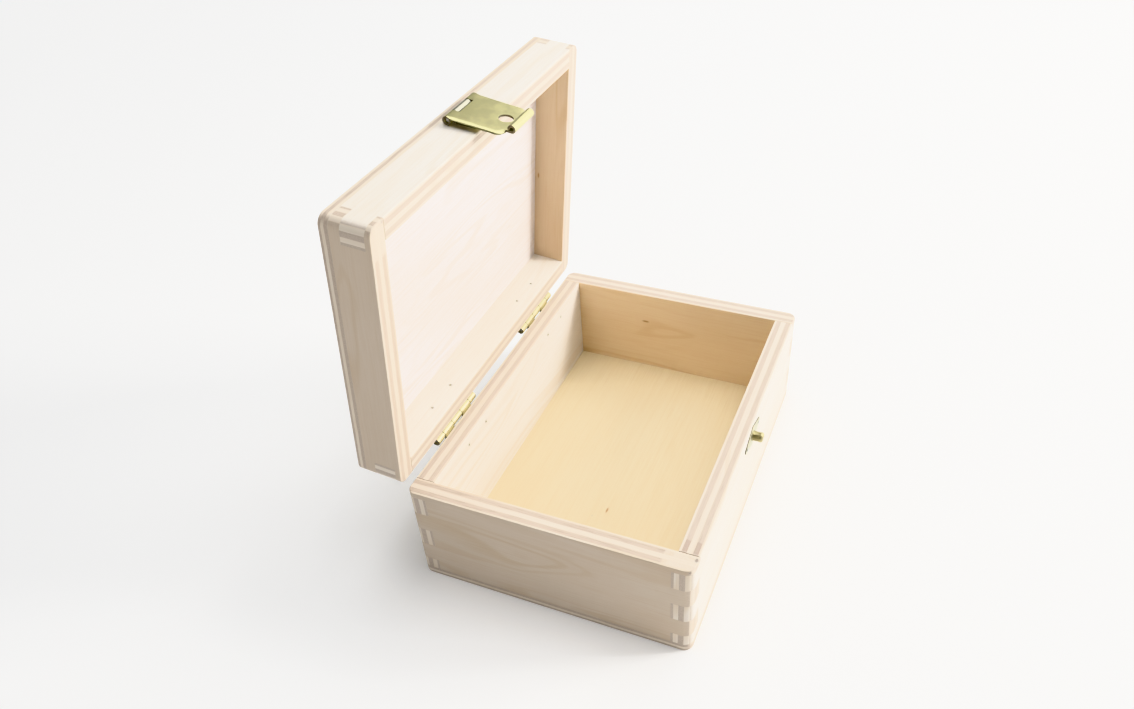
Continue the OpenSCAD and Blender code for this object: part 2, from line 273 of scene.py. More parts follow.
class Graph:
    """A material's node tree, filled by short calls that return sockets."""

    def __init__(self, name):
        self.material = bpy.data.materials.new(name)
        self.material.use_nodes = True
        self.tree = self.material.node_tree
        self.tree.nodes.clear()

    def node(self, kind, inputs, **settings):
        made = self.tree.nodes.new(kind)
        for key, value in settings.items():
            setattr(made, key, value)
        for key, value in inputs.items():
            self.feed(made.inputs[key], value)
        return made

    def feed(self, socket, value):
        if isinstance(value, bpy.types.NodeSocket):
            self.tree.links.new(value, socket)
        else:
            socket.default_value = value

    def math(self, operation, a, b=0.0, clamp=False):
        inputs = {0: a, 1: b}
        return self.node("ShaderNodeMath", inputs, operation=operation, use_clamp=clamp).outputs[0]

    def scaled(self, vector, factors):
        inputs = {0: vector, 1: factors}
        return self.node("ShaderNodeVectorMath", inputs, operation="MULTIPLY").outputs[0]

    def moved(self, vector, offset):
        inputs = {0: vector, 1: offset}
        return self.node("ShaderNodeVectorMath", inputs, operation="ADD").outputs[0]

    def length(self, vector):
        return self.node("ShaderNodeVectorMath", {0: vector}, operation="LENGTH").outputs["Value"]

    def along(self, vector, axis):
        """How far a vector reaches along an axis, either way."""
        dot = self.node("ShaderNodeVectorMath", {0: vector, 1: axis}, operation="DOT_PRODUCT")
        return self.math("ABSOLUTE", dot.outputs["Value"])

    def noise(self, vector, scale=1.0, detail=2.0, roughness=0.5, distortion=0.0):
        inputs = {
            "Vector": vector, "Scale": scale, "Detail": detail,
            "Roughness": roughness, "Distortion": distortion,
        }
        return self.node("ShaderNodeTexNoise", inputs).outputs["Fac"]

    def span(self, value, low, high, to_low=0.0, to_high=1.0):
        """Smooth step of a value from one range to another."""
        inputs = {0: value, 1: low, 2: high, 3: to_low, 4: to_high}
        made = self.node("ShaderNodeMapRange", inputs, interpolation_type="SMOOTHSTEP")
        return made.outputs[0]

    def mix(self, factor, a, b, blend="MIX"):
        made = self.node("ShaderNodeMix", {}, data_type="RGBA", blend_type=blend)
        self.feed(made.inputs[0], factor)
        self.feed(made.inputs[6], a)
        self.feed(made.inputs[7], b)
        return made.outputs[2]

    def mix_vector(self, factor, a, b):
        made = self.node("ShaderNodeMix", {}, data_type="VECTOR")
        self.feed(made.inputs[0], factor)
        self.feed(made.inputs[4], a)
        self.feed(made.inputs[5], b)
        return made.outputs[1]

    def ramp(self, factor, stops):
        """Grey ramp through (place, value) stops."""
        made = self.node("ShaderNodeValToRGB", {0: factor})
        elements = made.color_ramp.elements
        while len(elements) < len(stops):
            elements.new(0.5)
        for element, (place, value) in zip(elements, stops):
            element.position = place
            element.color = (value, value, value, 1)
        return made.outputs[0]

    def shader(self, colour, roughness, height=None, depth=0.0, **uniform):
        """Principled surface; height drives a bump of the given depth in metres."""
        inputs = {"Base Color": colour, "Roughness": roughness}
        if height is not None:
            bump = self.node("ShaderNodeBump", {"Height": height, "Strength": 1.0, "Distance": depth})
            inputs["Normal"] = bump.outputs[0]
        made = self.node("ShaderNodeBsdfPrincipled", inputs)
        for name, value in uniform.items():
            self.feed(made.inputs[name.replace("_", " ")], value)
        output = self.node("ShaderNodeOutputMaterial", {})
        self.tree.links.new(made.outputs[0], output.inputs[0])
        return self.material


# ---- birch plywood ----

WALL_PLIES = (0.8, 2.4, 4.1, 5.7, 6.5)      # far side of each ply, in mm from the outer face
PANEL_PLIES = (1.0, 2.0, 3.0)
PLY_BLUR = 0.05                             # mm over which one ply turns into the next
GLUE_WIDTH = 0.07
AXES = {"x": (1, 0, 0), "y": (0, 1, 0), "z": (0, 0, 1)}
DEEP_SHARE = (0.86, 0.76, 0.62)             # darker fibres, as a share of the wood's colour
RING_SHARE = (0.88, 0.80, 0.68)             # late wood
END_SHARE = (0.74, 0.685, 0.655)            # end grain
END_DEEP_SHARE = (0.60, 0.55, 0.52)
GLUE_SHARE = (0.66, 0.56, 0.48)
KNOT_BROWN = (0.36, 0.19, 0.08, 1)
BURNT_BROWN = (0.42, 0.33, 0.27, 1)
BRUISE_GREY = (0.26, 0.22, 0.19, 1)
FIBRE_SCALE = (0.05, 2.2)                   # noise scale along and across the grain, per mm
FIGURE_SCALE = (0.010, 0.060)
END_STREAK_SCALE = (0.16, 3.2)
KNOT_REACH = (12.0, 3.5)                    # mm along and across the grain over which a knot bends the figure
PLY_WAVER = 0.35                            # mm over which the plies wander in depth
RING_COUNT = 9.0
BAND_BLUR = 0.4                             # mm over which a band on the rim begins or ends
PLAIN_STRENGTH = 0.8
SCORCH_STRENGTH = 0.75
KNOT_STRENGTH = 0.8
WOOD_RELIEF = 0.03 * MM


def stretch(grain, scale):
    """Per-axis noise scale that draws a texture out along the grain."""
    return tuple(scale[0] if axis == grain else scale[1] for axis in "xyz")


def shared(colour, share):
    return tuple(colour[k] * share[k] for k in range(3)) + (1,)


def ply_stops(plies):
    """Ramp stops that are 1 in every second ply, for a depth given as a share of the thickness."""
    total = plies[-1]
    stops = [(0.0, 0.0)]
    value = 0.0
    for edge in plies[:-1]:
        stops += [((edge - PLY_BLUR) / total, value), ((edge + PLY_BLUR) / total, 1 - value)]
        value = 1 - value
    return stops


def glue_stops(plies):
    """Ramp stops that are 1 at every glue line."""
    total = plies[-1]
    stops = [(0.0, 0.0)]
    for edge in plies[:-1]:
        stops += [((edge - GLUE_WIDTH) / total, 0.0), (edge / total, 1.0), ((edge + GLUE_WIDTH) / total, 0.0)]
    return stops


def around_knots(g, p, knots, grain, across):
    """Bends the figure's coordinates round knots, and says where their cores are."""
    core = 0.0
    long_reach, wide_reach = KNOT_REACH
    reach = tuple(
        1 / long_reach if axis == grain else 1 / wide_reach if axis == across else 0.2 for axis in "xyz"
    )
    bent = p
    for centre, radius in knots:
        offset = g.moved(p, tuple(-c for c in centre))
        far = g.length(g.scaled(offset, reach))
        bell = g.span(far, 0.0, 1.0, 0.75, 0.0)
        sideways = g.scaled(offset, AXES[across])
        push = g.node("ShaderNodeVectorMath", {0: sideways, "Scale": bell}, operation="SCALE")
        bent = g.node("ShaderNodeVectorMath", {0: bent, 1: push.outputs[0]}, operation="SUBTRACT").outputs[0]
        core_shape = tuple(0.32 if axis == grain else 1.0 for axis in "xyz")
        near = g.length(g.scaled(offset, core_shape))
        core = g.math("MAXIMUM", core, g.span(near, 0.25 * radius, radius, 1.0, 0.0))
    return bent, core


def spot_mask(g, p, spots):
    """Small bruises and chips: (centre, radius, strength) in mm."""
    mask = 0.0
    ragged = g.math("MULTIPLY", g.math("SUBTRACT", g.noise(p, 1.3, 3, 0.7), 0.5), 0.9)
    for centre, radius, strength in spots:
        near = g.math("ADD", g.length(g.moved(p, tuple(-c for c in centre))), ragged)
        mask = g.math("MAXIMUM", mask, g.span(near, 0.35 * radius, radius, strength, 0.0))
    return mask


def band_mask(g, p, band):
    """1 between two places on an axis: (axis, low, high) in mm."""
    axis, low, high = band
    value = g.node("ShaderNodeSeparateXYZ", {0: p}).outputs["xyz".index(axis)]
    wavy = g.math("ADD", value, g.math("MULTIPLY", g.math("SUBTRACT", g.noise(p, 0.9, 2), 0.5), 1.5))
    begun = g.span(wavy, low - BAND_BLUR, low + BAND_BLUR)
    not_ended = g.span(wavy, high - BAND_BLUR, high + BAND_BLUR, 1.0, 0.0)
    return g.math("MULTIPLY", begun, not_ended)


def birch_material(
    name, thickness, grain, across, plies, outer, colour, seed,
    side=1, outer_face=None, inner_face=None, knots=(), spots=(),
    plain_rim=None, burnt_rim=None, figure_strength=0.55,
):
    """Plywood whose plies are stacked along one axis.

    thickness, grain and across are axis letters: through the sheet, along the outer plies' grain and
    along the other plies' grain. outer is the outer face's coordinate in mm; side is -1 where the
    depth is outer + coordinate. outer_face and inner_face are the colours of the face plies where they
    differ, and carry painted light and shade: paler tints on lit faces, darker and warmer ones on faces in
    shade; plain_rim and burnt_rim are bands on which the rim's end grain is faint or scorched.
    """
    g = Graph(name)
    coords = g.node("ShaderNodeTexCoord", {})
    p = g.scaled(coords.outputs["Object"], (1000, 1000, 1000))
    normal = coords.outputs["Normal"]
    place = g.node("ShaderNodeSeparateXYZ", {0: p}).outputs["xyz".index(thickness)]
    if thickness != "z":
        place = g.math("ABSOLUTE", place)
    depth = g.math("SUBTRACT", outer, place) if side > 0 else g.math("ADD", place, outer)
    waver = g.noise(g.moved(p, (seed, seed, seed)), 0.11, 2)
    depth = g.math("ADD", depth, g.math("MULTIPLY", g.math("SUBTRACT", waver, 0.5), PLY_WAVER))
    depth_share = g.math("DIVIDE", depth, plies[-1])
    cross = g.ramp(depth_share, ply_stops(plies))
    glue = g.ramp(depth_share, glue_stops(plies))
    end = g.node("ShaderNodeMix", {}, data_type="FLOAT")
    g.feed(end.inputs[0], cross)
    g.feed(end.inputs[2], g.along(normal, AXES[grain]))
    g.feed(end.inputs[3], g.along(normal, AXES[across]))
    endness = g.span(end.outputs[0], 0.25, 0.85)

    bent, core = around_knots(g, p, knots, grain, across)
    q = g.moved(bent, (seed * 3.1, seed * 1.7, seed * 2.3))

    def drawn_out(scale):
        return g.mix_vector(cross, g.scaled(q, stretch(grain, scale)), g.scaled(q, stretch(across, scale)))

    fibre = g.noise(drawn_out(FIBRE_SCALE), 1.0, 4, 0.65, 0.2)
    figure = g.noise(drawn_out(FIGURE_SCALE), 1.0, 2, 0.45, 0.6)
    rings = g.math("PINGPONG", g.math("MULTIPLY", figure, RING_COUNT), 0.5)
    late_wood = g.math("MULTIPLY", g.span(rings, 0.05, 0.40, 1.0, 0.0), g.span(figure, 0.35, 0.65))
    shade = g.span(g.noise(g.scaled(q, stretch(grain, (0.012, 0.028))), 1.0, 2), 0.3, 0.75)
    pores = g.noise(g.scaled(q, stretch(grain, (0.5, 5.5))), 1.0, 2, 0.5)
    end_streaks = g.noise(g.scaled(q, stretch(grain, END_STREAK_SCALE)), 1.0, 3, 0.6)

    light = tuple(colour) + (1,)
    # painted light and shade: the face tints mixed in below are paler on lit faces and darker and warmer on faces
    # in shade
    facing = g.span(g.along(normal, AXES[thickness]), 0.4, 0.9)
    if outer_face:
        in_ply = g.span(depth, plies[0] - PLY_BLUR, plies[0] + PLY_BLUR, 1.0, 0.0)
        light = g.mix(g.math("MULTIPLY", in_ply, facing), light, outer_face + (1,))
    if inner_face:
        in_ply = g.span(depth, plies[-2] - PLY_BLUR, plies[-2] + PLY_BLUR)
        light = g.mix(g.math("MULTIPLY", in_ply, facing), light, inner_face + (1,))
    deeper = g.math("MULTIPLY", g.span(fibre, 0.38, 0.78), 0.30)
    deeper = g.math("MAXIMUM", deeper, g.span(pores, 0.66, 0.78, 0.0, 0.4))
    long_colour = g.mix(deeper, light, DEEP_SHARE + (1,), "MULTIPLY")
    ring_amount = g.math("MULTIPLY", late_wood, figure_strength)
    ring_amount = g.math("MAXIMUM", ring_amount, g.math("MULTIPLY", shade, 0.35))
    long_colour = g.mix(ring_amount, long_colour, RING_SHARE + (1,), "MULTIPLY")
    end_colour = g.mix(
        g.span(end_streaks, 0.35, 0.70), shared(colour, END_SHARE), shared(colour, END_DEEP_SHARE)
    )
    rim = g.along(normal, AXES["z"])
    if plain_rim:
        plain = g.math("MULTIPLY", g.math("MULTIPLY", band_mask(g, p, plain_rim), rim), PLAIN_STRENGTH)
        keep = g.math("SUBTRACT", 1.0, plain)
        endness = g.math("MULTIPLY", endness, keep)
        glue = g.math("MULTIPLY", glue, keep)
    if burnt_rim:
        scorch = g.math("MULTIPLY", band_mask(g, p, burnt_rim), rim)
        end_colour = g.mix(g.math("MULTIPLY", scorch, SCORCH_STRENGTH), end_colour, BURNT_BROWN)
    tone = g.mix(endness, long_colour, end_colour)
    tone = g.mix(g.math("MULTIPLY", glue, 0.5), tone, shared(colour, GLUE_SHARE))
    if knots:
        tone = g.mix(g.math("MULTIPLY", core, KNOT_STRENGTH), tone, KNOT_BROWN)
    height = g.math("ADD", fibre, g.math("MULTIPLY", end_streaks, endness))
    height = g.math("SUBTRACT", height, g.math("MULTIPLY", glue, 0.5))
    if spots:
        bruise = spot_mask(g, p, spots)
        tone = g.mix(bruise, tone, BRUISE_GREY)
        height = g.math("SUBTRACT", height, g.math("MULTIPLY", bruise, 3.0))
    roughness = g.span(fibre, 0.2, 0.8, 0.50, 0.66)
    return g.shader(tone, roughness, height, WOOD_RELIEF, Specular_IOR_Level=0.3)


def wall_material(node, colour, seed, **features):
    is_end = is_end_wall(node)
    thickness, grain = ("x", "y") if is_end else ("y", "x")
    outer = (HALF_X if is_end else HALF_Y) / MM
    return birch_material(
        node + "_birch", thickness, grain, "z", WALL_PLIES, outer, colour, seed, **features
    )


def panel_material(node, colour, seed, **features):
    low, high = shut_box(node)
    is_top = node.startswith("lid")
    outer = high.z / MM if is_top else -low.z / MM
    side = 1 if is_top else -1
    return birch_material(
        node + "_birch", "z", "x", "y", PANEL_PLIES, outer, colour, seed, side=side, **features
    )


# ---- metal ----

METAL_RELIEF = 0.006 * MM


def brass_material(name, colour, roughness, wear):
    """Thin brass plating on steel sheet: fine rolling lines, small stains, brighter where it is rubbed."""
    g = Graph(name)
    p = g.scaled(g.node("ShaderNodeTexCoord", {}).outputs["Object"], (1000, 1000, 1000))
    lines = g.noise(g.scaled(p, (0.5, 9.0, 9.0)), 1.0, 3, 0.6)
    cloud = g.noise(p, 0.22, 2, 0.5)
    speck = g.noise(p, 4.0, 2, 0.5)
    dark = tuple(c * 0.88 for c in colour) + (1,)
    pale = tuple(min(1.0, c * 1.05) for c in colour) + (1,)
    tone = g.mix(g.span(cloud, 0.35, 0.7), dark, pale)
    tone = g.mix(g.span(speck, 0.62, 0.78, 0.0, wear), tone, tuple(c * 0.4 for c in colour) + (1,))
    rough = g.math("ADD", roughness, g.math("MULTIPLY", g.math("SUBTRACT", lines, 0.5), 0.18))
    return g.shader(tone, rough, lines, METAL_RELIEF, Metallic=1.0)


BRASS = brass_material("brass_plate", (0.66, 0.60, 0.36), 0.36, 0.25)
FLAP_BRASS = brass_material("flap_brass", (0.78, 0.735, 0.40), 0.38, 0.20)
CUT_EDGE = brass_material("cut_edge", (0.18, 0.16, 0.11), 0.50, 0.30)
# partly painted reflection: a paler, greyer brass for the hasp's mounting plate, laid over its own brass colour,
# that stands in for the light grey its knuckle reflects
PALE_BRASS_AND_REFLECTION = brass_material("pale_brass_and_reflection", (0.62, 0.60, 0.47), 0.34, 0.25)
OLD_BRASS = brass_material("dark_brass", (0.40, 0.355, 0.20), 0.42, 0.35)
DULL_BRASS = brass_material("dull_brass", (0.44, 0.42, 0.30), 0.42, 0.35)
STEEL = brass_material("steel_wire", (0.42, 0.41, 0.38), 0.38, 0.35)


# ---- metal pieces ----

SHEET = 0.7 * MM              # thickness of the sheet brass
KNUCKLE_GAP = 0.15 * MM
KNUCKLE_CLEAR = 0.35 * MM     # gap between a plate's edge and the other leaf's knuckle
SHEET_BEVEL = 0.14 * MM
KEEPER_BEVEL = 0.12 * MM
NAIL_TIP_R = 0.1 * MM
LEAST_HEAD_H = 0.12 * MM
JOGGLE_R = 2.0 * MM           # bends that step a leaf out to its barrel
LEAF_ROLL = 328               # degrees that a knuckle runs round its pin
PIN_EDGE = 0.2 * MM
NAIL_POINT = 0.8 * MM
NAIL_SHANK_R = 0.5 * MM
HINGE_HEAD_H = 0.55 * MM
KEEPER_HEAD_H = 0.2 * MM
GRID_CLEAR = 0.6 * MM         # least width of a mesh column beside a knuckle's end


class Bend:
    """Centre line of a bent sheet in the (y, z) plane: straight runs and round bends one after another."""

    def __init__(self, y, z, heading):
        self.start = (y, z)
        self.heading = math.radians(heading)
        self.parts = []

    def straight(self, length):
        self.parts.append((length, 0.0))
        return self.length

    def turn(self, radius, degrees):
        """Left for positive degrees, right for negative ones."""
        angle = math.radians(degrees)
        self.parts.append((abs(angle) * radius, math.copysign(1 / radius, degrees)))
        return self.length

    def rise(self, reach, shift):
        """Runs forward by reach in all, the last of it stepping sideways: left for a positive shift."""
        angle = math.acos(1 - abs(shift) / (2 * JOGGLE_R))
        side = math.copysign(1, shift)
        self.straight(reach - 2 * JOGGLE_R * math.sin(angle))
        self.turn(JOGGLE_R, side * math.degrees(angle))
        return self.turn(JOGGLE_R, -side * math.degrees(angle))

    @property
    def length(self):
        return sum(length for length, _ in self.parts)

    def at(self, s):
        """Point and left-hand normal at a distance along the line."""
        y, z = self.start
        heading = self.heading
        for length, curve in self.parts:
            run = min(max(s, 0.0), length)
            if curve == 0.0:
                y += run * math.cos(heading)
                z += run * math.sin(heading)
            else:
                after = heading + run * curve
                y += (math.sin(after) - math.sin(heading)) / curve
                z -= (math.cos(after) - math.cos(heading)) / curve
                heading = after
            s -= run
            if s <= 0:
                break
        return (y, z), (-math.sin(heading), math.cos(heading))

    def stations(self, extra=(), step=11):
        """Distances along the line for cross lines: the ends of every part, steps round bends, and extras."""
        marks = {0.0}
        place = 0.0
        for length, curve in self.parts:
            count = max(1, math.ceil(math.degrees(length * abs(curve)) / step))
            marks.update(place + length * i / count for i in range(1, count + 1))
            place += length
        return merged(list(marks) + list(extra))


def merged(values):
    """Sorted values without near repeats."""
    kept = []
    for value in sorted(values):
        if not kept or value - kept[-1] > 2 * TINY:
            kept.append(value)
    return kept


def filled(fixed, extra):
    """Fixed grid lines, with those extra ones that keep well clear of them."""
    return merged(fixed + [x for x in extra if all(abs(x - place) > GRID_CLEAR for place in fixed)])


def between(low, high, count):
    return [low + (high - low) * i / count for i in range(count + 1)]


def bent_sheet(path, xs, ss, keep, shape=None, hole=None):
    """Middle surface of a bent sheet: cells of the (xs, ss) grid that keep(x, s) wants.

    shape(x, s) gives (x, lift off the centre line); hole is (x, s, radius, half size of its square patch),
    whose sides lie on grid lines.
    """
    bm = bmesh.new()
    grid = {}

    def vertex(x, s):
        key = (round(x / TINY), round(s / TINY))
        if key not in grid:
            (y, z), (ny, nz) = path.at(s)
            moved_x, lift = shape(x, s) if shape else (x, 0.0)
            grid[key] = bm.verts.new((moved_x, y + ny * lift, z + nz * lift))
        return grid[key]

    def in_patch(x, s):
        return hole and abs(x - hole[0]) < hole[3] and abs(s - hole[1]) < hole[3]

    for x0, x1 in zip(xs, xs[1:]):
        for s0, s1 in zip(ss, ss[1:]):
            x, s = 0.5 * (x0 + x1), 0.5 * (s0 + s1)
            if keep(x, s) and not in_patch(x, s):
                bm.faces.new((vertex(x0, s0), vertex(x1, s0), vertex(x1, s1), vertex(x0, s1)))
    if hole:
        cx, cs, radius, half = hole
        across = [x for x in xs if abs(x - cx) < half + TINY]
        down = [s for s in ss if abs(s - cs) < half + TINY]
        loop = [(x, down[0]) for x in across] + [(across[-1], s) for s in down[1:]]
        loop += [(x, down[-1]) for x in reversed(across[:-1])] + [(across[0], s) for s in reversed(down[1:-1])]
        rim = []
        for x, s in loop:
            far = math.hypot(x - cx, s - cs)
            rim.append(vertex(cx + (x - cx) * radius / far, cs + (s - cs) * radius / far))
        for i in range(len(loop)):
            j = (i + 1) % len(loop)
            bm.faces.new((vertex(*loop[i]), vertex(*loop[j]), rim[j], rim[i]))
    bmesh.ops.remove_doubles(bm, verts=bm.verts, dist=2 * TINY)
    return bm


def thicken(piece, thickness, bevel=SHEET_BEVEL):
    solid = piece.modifiers.new("Sheet", "SOLIDIFY")
    solid.thickness = thickness
    solid.offset = 0
    solid.use_even_offset = True
    piece.data.materials.append(CUT_EDGE)
    solid.material_offset_rim = 1
    add_bevel(piece, bevel, 3)


def lathe(bm, profile, origin, axis, segments=28):
    """Adds a turned solid: (radius, distance along the axis) points from one pole to the other."""
    turn = Vector(axis).to_track_quat("Z", "Y").to_matrix()
    origin = Vector(origin)
    rings = []
    for radius, place in profile:
        if radius < TINY:
            rings.append([bm.verts.new(origin + turn @ Vector((0, 0, place)))])
            continue
        ring = []
        for i in range(segments):
            angle = math.tau * i / segments
            spot = Vector((radius * math.cos(angle), radius * math.sin(angle), place))
            ring.append(bm.verts.new(origin + turn @ spot))
        rings.append(ring)
    for low, high in zip(rings, rings[1:]):
        for i in range(segments):
            j = (i + 1) % segments
            if len(low) == 1:
                bm.faces.new((low[0], high[j], high[i]))
            elif len(high) == 1:
                bm.faces.new((low[i], low[j], high[0]))
            else:
                bm.faces.new((low[i], low[j], high[j], high[i]))


def arc(centre_r, centre_z, radius, start, end, count=6):
    """Profile points round an arc; angles in degrees from the outward direction."""
    return [
        (centre_r + radius * math.cos(math.radians(a)), centre_z + radius * math.sin(math.radians(a)))
        for a in between(start, end, count)
    ]


def nail_profile(length, head_r, head_h):
    """Nail from its point at -length to a domed head that stands head_h above 0."""
    rim = 0.25 * head_h
    cap_r = (head_r**2 + (head_h - rim) ** 2) / (2 * (head_h - rim))
    half = math.degrees(math.asin(head_r / cap_r))
    dome = arc(0, head_h - cap_r, cap_r, 90 - half, 90, 6)
    shank = [(0, -length), (NAIL_TIP_R, -length), (NAIL_SHANK_R, NAIL_POINT - length), (NAIL_SHANK_R, 0)]
    return shank + [(head_r * 0.97, 0), (head_r, rim * 0.5)] + dome[:-1] + [(0, head_h)]


def sharp_smooth(piece):
    """Smooth shading that keeps creases."""
    smooth(piece)
    mesh = piece.data
    mesh.set_sharp_from_angle(angle=math.radians(40))


def leaf(node, up, knuckles):
    """A butt hinge's leaf. up is 1 on the lid and -1 on the base; knuckles are those it rolls round the pin."""
    low, high = shut_box(node)
    reach = high.z - HINGE.z if up > 0 else HINGE.z - low.z
    barrel_r = high.y - HINGE.y
    plate_y = low.y + SHEET / 2
    roll_r = barrel_r - SHEET / 2
    notch = barrel_r + KNUCKLE_CLEAR
    bend = Bend(plate_y - HINGE.y, -reach, 90)
    bend.rise(reach, plate_y - HINGE.y + roll_r)
    bend.turn(roll_r, -LEAF_ROLL)
    plate_end = reach - notch
    length = high.x - low.x
    end_l = shut_knuckle_length(low.x)
    middle_l = (length - 2 * end_l) / 3
    edges = [0, end_l, end_l + middle_l, end_l + 2 * middle_l, length - end_l, length]
    spans = []
    for i in knuckles:
        a = low.x + edges[i] + (KNUCKLE_GAP / 2 if i > 0 else 0)
        b = low.x + edges[i + 1] - (KNUCKLE_GAP / 2 if i < 4 else 0)
        spans.append((a, b))
    xs = filled([low.x, high.x] + [x for span in spans for x in span], between(low.x, high.x, 12))
    ss = bend.stations([plate_end])

    def keep(x, s):
        return s < plate_end or any(a < x < b for a, b in spans)

    bm = bent_sheet(bend, xs, ss, keep)
    for v in bm.verts:
        v.co = Vector((v.co.x, HINGE.y + v.co.y, HINGE.z - up * v.co.z))
    piece = new_piece(node + "_sheet", bm, BRASS, node)
    thicken(piece, SHEET)
    return piece


def shut_knuckle_length(low_x):
    """Length of a hinge's outermost knuckles, from where the lid leaf's first knuckle ends."""
    name = "left" if low_x < 0 else "right"
    xs = shut_levels(name + "_hinge_lid_leaf", 0)
    return min(x for x in xs if x - low_x > 2 * MM) - low_x + KNUCKLE_GAP / 2


def pin(node):
    """Hinge or hasp pin with upset ends."""
    low, high = shut_box(node)
    radius = (high.z - low.z) / 2
    length = high.x - low.x
    profile = [(0, 0)] + arc(radius - PIN_EDGE, PIN_EDGE, PIN_EDGE, -90, 0, 4)
    profile += arc(radius - PIN_EDGE, length - PIN_EDGE, PIN_EDGE, 0, 90, 4) + [(0, length)]
    bm = bmesh.new()
    lathe(bm, profile, (low.x, (low.y + high.y) / 2, (low.z + high.z) / 2), (1, 0, 0), 20)
    piece = new_piece(node + "_wire", bm, STEEL, node)
    sharp_smooth(piece)


def nails(node, out, head_h, material):
    """A pair of nails. out is the direction of their heads along Y; head_h how far those stand proud."""
    low, high = shut_box(node)
    head_r = (high.z - low.z) / 2
    face = high.y - head_h if out > 0 else low.y + head_h
    length = high.y - low.y - head_h
    bm = bmesh.new()
    for x in (low.x + head_r, high.x - head_r):
        profile = nail_profile(length, head_r, max(head_h, LEAST_HEAD_H))
        lathe(bm, profile, (x, face, (low.z + high.z) / 2), (0, out, 0))
    piece = new_piece(node + "_turned", bm, material, node)
    sharp_smooth(piece)


def hinge(name):
    leaf(name + "_hinge_base_leaf", -1, (1, 3))
    leaf(name + "_hinge_lid_leaf", 1, (0, 2, 4))
    pin(name + "_hinge_pin")
    nails(name + "_hinge_base_nails", 1, HINGE_HEAD_H, DULL_BRASS)
    nails(name + "_hinge_lid_nails", 1, HINGE_HEAD_H, DULL_BRASS)


# ---- hasp ----

LIP_HALF = 6.0 * MM           # half the length of the rolled lip
LIP_R = 1.3 * MM
SHOULDER_R = 2.4 * MM
WINDOW_HALF = 4.175 * MM      # half the window for the mounting plate's knuckle
FLAP_HOLE_R = 2.2 * MM
EDGE_ROUND = 1.2 * MM         # width over which the flap's side edges turn down
EDGE_DROP = 0.6 * MM
EDGE_RUN_OUT = 0.8 * MM       # length over which the turned edges fade at the shoulders
EDGE_FADE = 2.0 * MM          # and at the barrel
LIP_SWEEP = 290               # degrees that the lip runs round
HASP_ROLL = 300               # degrees that the hasp's knuckles run round the pin
SHOULDER_Z = -17.5 * MM       # where the plate narrows to its lip, from the pin
HOLE_PATCH = 3.3 * MM         # half the square of mesh round the hole


def to_hasp(bm):
    for v in bm.verts:
        v.co = v.co + Vector((0, HASP.y, HASP.z))
    return bm


def flap():
    """Hasp flap: rolled knuckles, plate with turned-down edges and a round hole, rolled lip."""
    low, high = shut_box("hasp_flap")
    half = high.x
    barrel_r = high.z - HASP.z
    roll_r = barrel_r - SHEET / 2
    lip_z = low.z + LIP_R - HASP.z
    lip_y = low.y + LIP_R - HASP.y
    lip_roll = LIP_R - SHEET / 2
    apart = math.hypot(lip_y, lip_z)
    lean = math.asin((lip_roll + roll_r) / apart)
    heading = math.degrees(math.atan2(lip_z, lip_y) + lean) + 180
    start = math.radians(heading - 90 - LIP_SWEEP)
    bend = Bend(
        lip_y + lip_roll * math.cos(start), lip_z + lip_roll * math.sin(start), heading - LIP_SWEEP
    )
    lip_end = bend.turn(lip_roll, LIP_SWEEP)
    barrel_start = bend.straight(math.sqrt(apart**2 - (lip_roll + roll_r) ** 2))
    bend.turn(roll_r, -HASP_ROLL)
    window = barrel_start - barrel_r - KNUCKLE_CLEAR
    shoulder = lip_end + (SHOULDER_Z - lip_z)
    hole_s = lip_end + (shut_hole_z("hasp_flap") - HASP.z - lip_z)
    patch = HOLE_PATCH
    round_s = [shoulder + SHOULDER_R * (1 - math.cos(math.radians(a))) for a in [0] + between(18, 90, 6)]
    edge_xs = between(half - EDGE_ROUND, half, 6)
    xs = merged(
        between(-patch, patch, 8) + [-LIP_HALF, LIP_HALF, -WINDOW_HALF, WINDOW_HALF]
        + edge_xs + [-x for x in edge_xs] + [-5.2 * MM, 5.2 * MM]
    )
    ss = bend.stations(between(hole_s - patch, hole_s + patch, 8) + round_s + [window, shoulder])

    def keep(x, s):
        if s < shoulder:
            return abs(x) < LIP_HALF
        return s < window or abs(x) > WINDOW_HALF

    def shape(x, s):
        side = abs(x)
        moved = x
        if side > LIP_HALF + TINY and s < shoulder + SHOULDER_R:
            into = 1 - max(0.0, s - shoulder) / SHOULDER_R
            width = half - SHOULDER_R * (1 - math.sqrt(max(0.0, 1 - into * into)))
            share = (side - LIP_HALF) / (half - LIP_HALF)
            moved = math.copysign(LIP_HALF + share * (width - LIP_HALF), x)
        inset = half - abs(moved)
        if s < shoulder + SHOULDER_R and inset < SHOULDER_R:
            inset = SHOULDER_R - math.hypot(SHOULDER_R - inset, shoulder + SHOULDER_R - max(s, shoulder))
        turn = max(0.0, 1 - inset / EDGE_ROUND)
        at_barrel = min(1.0, max(0.0, barrel_start - s) / EDGE_FADE)
        at_lip = min(1.0, max(0.0, s - shoulder) / EDGE_RUN_OUT)
        drop = EDGE_DROP * (1 - math.sqrt(1 - min(1.0, turn) ** 2)) * at_barrel * at_lip
        return moved, -drop

    bm = to_hasp(bent_sheet(bend, xs, ss, keep, shape, (0.0, hole_s, FLAP_HOLE_R, patch)))
    piece = new_piece("hasp_flap_sheet", bm, FLAP_BRASS, "hasp_flap")
    thicken(piece, SHEET)


def shut_hole_z(node):
    """Height of the middle of the round hole on a plate's centre line: the mean of its own corners."""
    ring = [p.z for p in shut_points(node) if abs(p.x) < 2.3 * MM and p.z < HASP.z - 8 * MM]
    ring = [z for z in ring if z > shut_box(node)[0].z + 3.5 * MM]
    return 0.5 * (min(ring) + max(ring))


